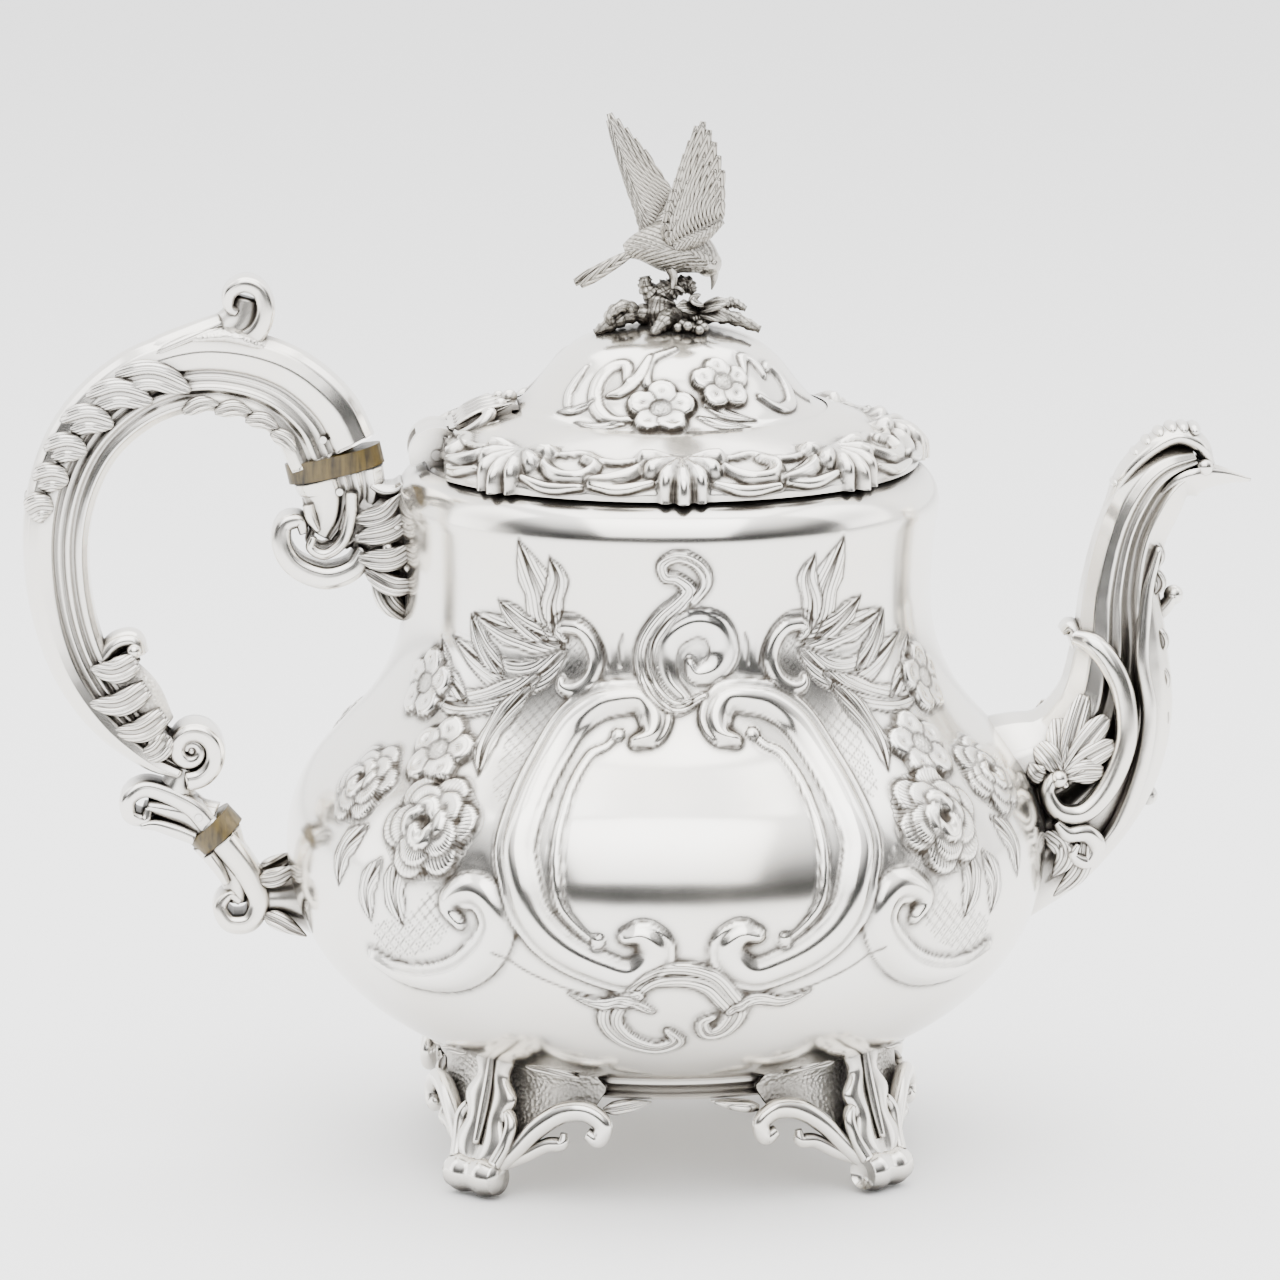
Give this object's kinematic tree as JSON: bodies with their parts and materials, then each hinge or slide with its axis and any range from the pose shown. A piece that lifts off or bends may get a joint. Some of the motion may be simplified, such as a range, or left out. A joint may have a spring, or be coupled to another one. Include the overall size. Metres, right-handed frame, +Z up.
{
  "type": "teapot",
  "caption": "Silver teapot with a chased pear body, four cast feet, scroll handle with bone insulators and a hinged lid with a bird finial.",
  "frame": {"origin": "on the body's axis, on the plane that the four feet stand on", "axes": "+Z up, +X towards the spout, -X towards the handle, -Y the front"},
  "size_m": [0.2752, 0.1706, 0.2328],
  "materials": {
    "chased_silver": "polished silver, hand chased, tarnish left in the recesses",
    "cast_silver": "cast and chased silver with matted grounds and dark recesses",
    "finial_silver": "satin cast silver with cut feathers and bark",
    "plain_silver": "plain silver, softly polished",
    "bone": "aged bone, satin, with darker cross grain"
  },
  "bodies": {
    "pot": {"body_shell": "chased_silver", "mouth_rim": "plain_silver", "foot_ring": "cast_silver", "foot_front_left": "cast_silver", "foot_front_right": "cast_silver", "foot_back_left": "cast_silver", "foot_back_right": "cast_silver", "spout": "cast_silver", "upper_socket": "cast_silver", "lower_socket": "cast_silver", "upper_insulator": "bone", "lower_insulator": "bone", "handle": "cast_silver", "handle_tail": "cast_silver", "upper_handle_pin": "plain_silver", "upper_socket_pin": "plain_silver", "lower_handle_pin": "plain_silver", "lower_socket_pin": "plain_silver", "hinge_plate": "cast_silver", "hinge_pin": "plain_silver"},
    "lid": {"lid_hinge_leaf": "cast_silver", "lid_dome": "chased_silver", "lid_border": "cast_silver", "lid_flange": "plain_silver", "finial_branch": "finial_silver", "bird_body": "finial_silver", "bird_wing_left": "finial_silver", "bird_wing_right": "finial_silver", "vine_leaf": "finial_silver", "finial_stud": "plain_silver", "finial_washer": "plain_silver", "finial_nut": "plain_silver"}
  },
  "joints": [
    {"name": "lid_hinge", "type": "hinge", "parent": "pot", "child": "lid", "pos_m": [-0.0518, 0, 0.16], "axis": [0, -1, 0], "range_deg": [0, 80]}
  ]
}
